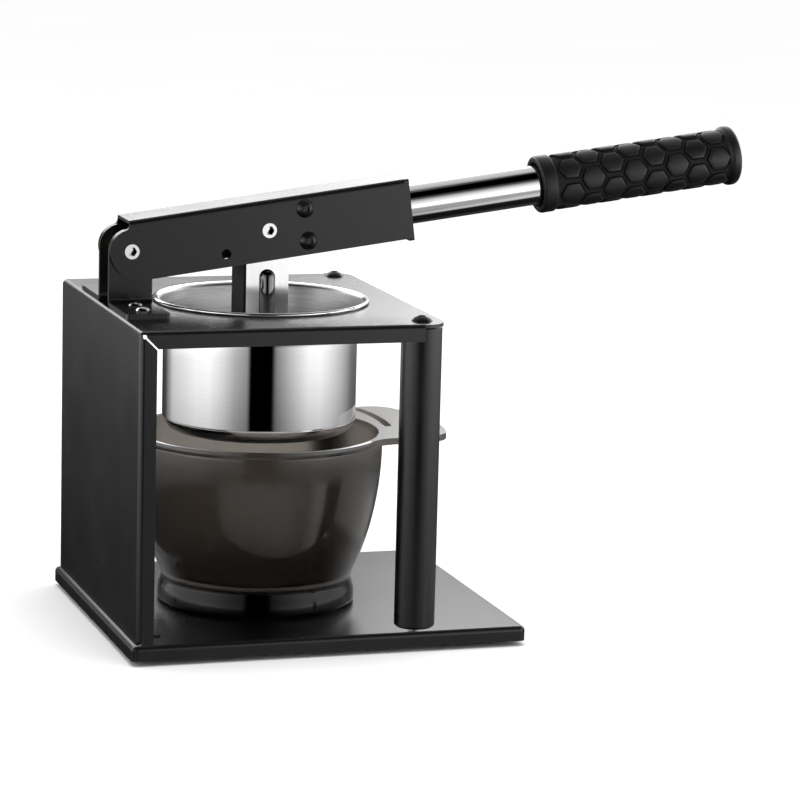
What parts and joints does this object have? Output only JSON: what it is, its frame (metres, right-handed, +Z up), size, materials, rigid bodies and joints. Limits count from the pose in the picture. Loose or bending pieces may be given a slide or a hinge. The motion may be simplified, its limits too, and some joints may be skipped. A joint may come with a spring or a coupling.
{
  "type": "manual citrus juicer",
  "caption": "Lever citrus juicer: a folded steel frame on posts, a strainer cup in its top plate, a hinged lever that drives a press into the cup, and a bowl below for the juice.",
  "frame": {"origin": "centre of the bounding box's footprint, on the table under the rubber feet", "axes": "+X from the hinge towards the grip, +Y to the far side, +Z up"},
  "size_m": [0.4052, 0.21, 0.2963],
  "materials": {
    "black_coat": "satin powder coat",
    "black_screws": "satin black oxide",
    "bright_steel": "bright zinc",
    "chrome_plate": "mirror",
    "polished_steel": "polished",
    "black_rubber": "matt",
    "socket_alloy": "machined",
    "bush_brass": "turned",
    "smoke_plastic": "glossy smoke"
  },
  "bodies": {
    "frame": {"base_pan": "black_coat", "body_shell": "black_coat", "post_near": "black_coat", "post_far": "black_coat", "post_top_screws": "black_screws", "post_bottom_screws": "bright_steel", "body_screws": "bright_steel", "body_nuts": "bright_steel", "rubber_feet": "black_rubber", "foot_nuts": "bright_steel", "hinge_bracket_near": "black_coat", "hinge_bracket_far": "black_coat", "bracket_screws": "bright_steel", "bracket_nuts": "bright_steel", "pivot_bush": "bush_brass", "juice_cup": "polished_steel", "strainer_disc": "polished_steel"},
    "lever": {"lever_channel": "black_coat", "lever_end_plate": "black_coat", "pivot_barrel": "bright_steel", "pivot_screw": "bright_steel", "handle_socket": "socket_alloy", "socket_bolts": "black_screws", "socket_nuts": "bright_steel", "handle_tube": "chrome_plate", "handle_grip": "black_rubber", "press_barrel": "bright_steel", "press_pin_screw": "bright_steel"},
    "press": {"press_yoke": "polished_steel", "press_spine": "black_coat", "press_plate": "polished_steel", "press_screws": "bright_steel", "lift_peg": "chrome_plate"},
    "bowl": {"juice_bowl": "smoke_plastic"}
  },
  "joints": [
    {"name": "lever_hinge", "type": "hinge", "parent": "frame", "child": "lever", "pos_m": [-0.1841, 0, 0.2272], "axis": [0, -1, 0], "range_deg": [0, 80]},
    {"name": "press_swing", "type": "hinge", "parent": "lever", "child": "press", "pos_m": [-0.10083, 0, 0.23831], "axis": [0, -1, 0], "range_deg": [-47, 0]},
    {"name": "bowl_slide", "type": "slide", "parent": "frame", "child": "bowl", "axis": [1, 0, 0], "range_m": [0, 0.16]}
  ],
  "couplings": [
    {"joint": "press_swing", "follows": "lever_hinge", "ratio": -0.58}
  ]
}
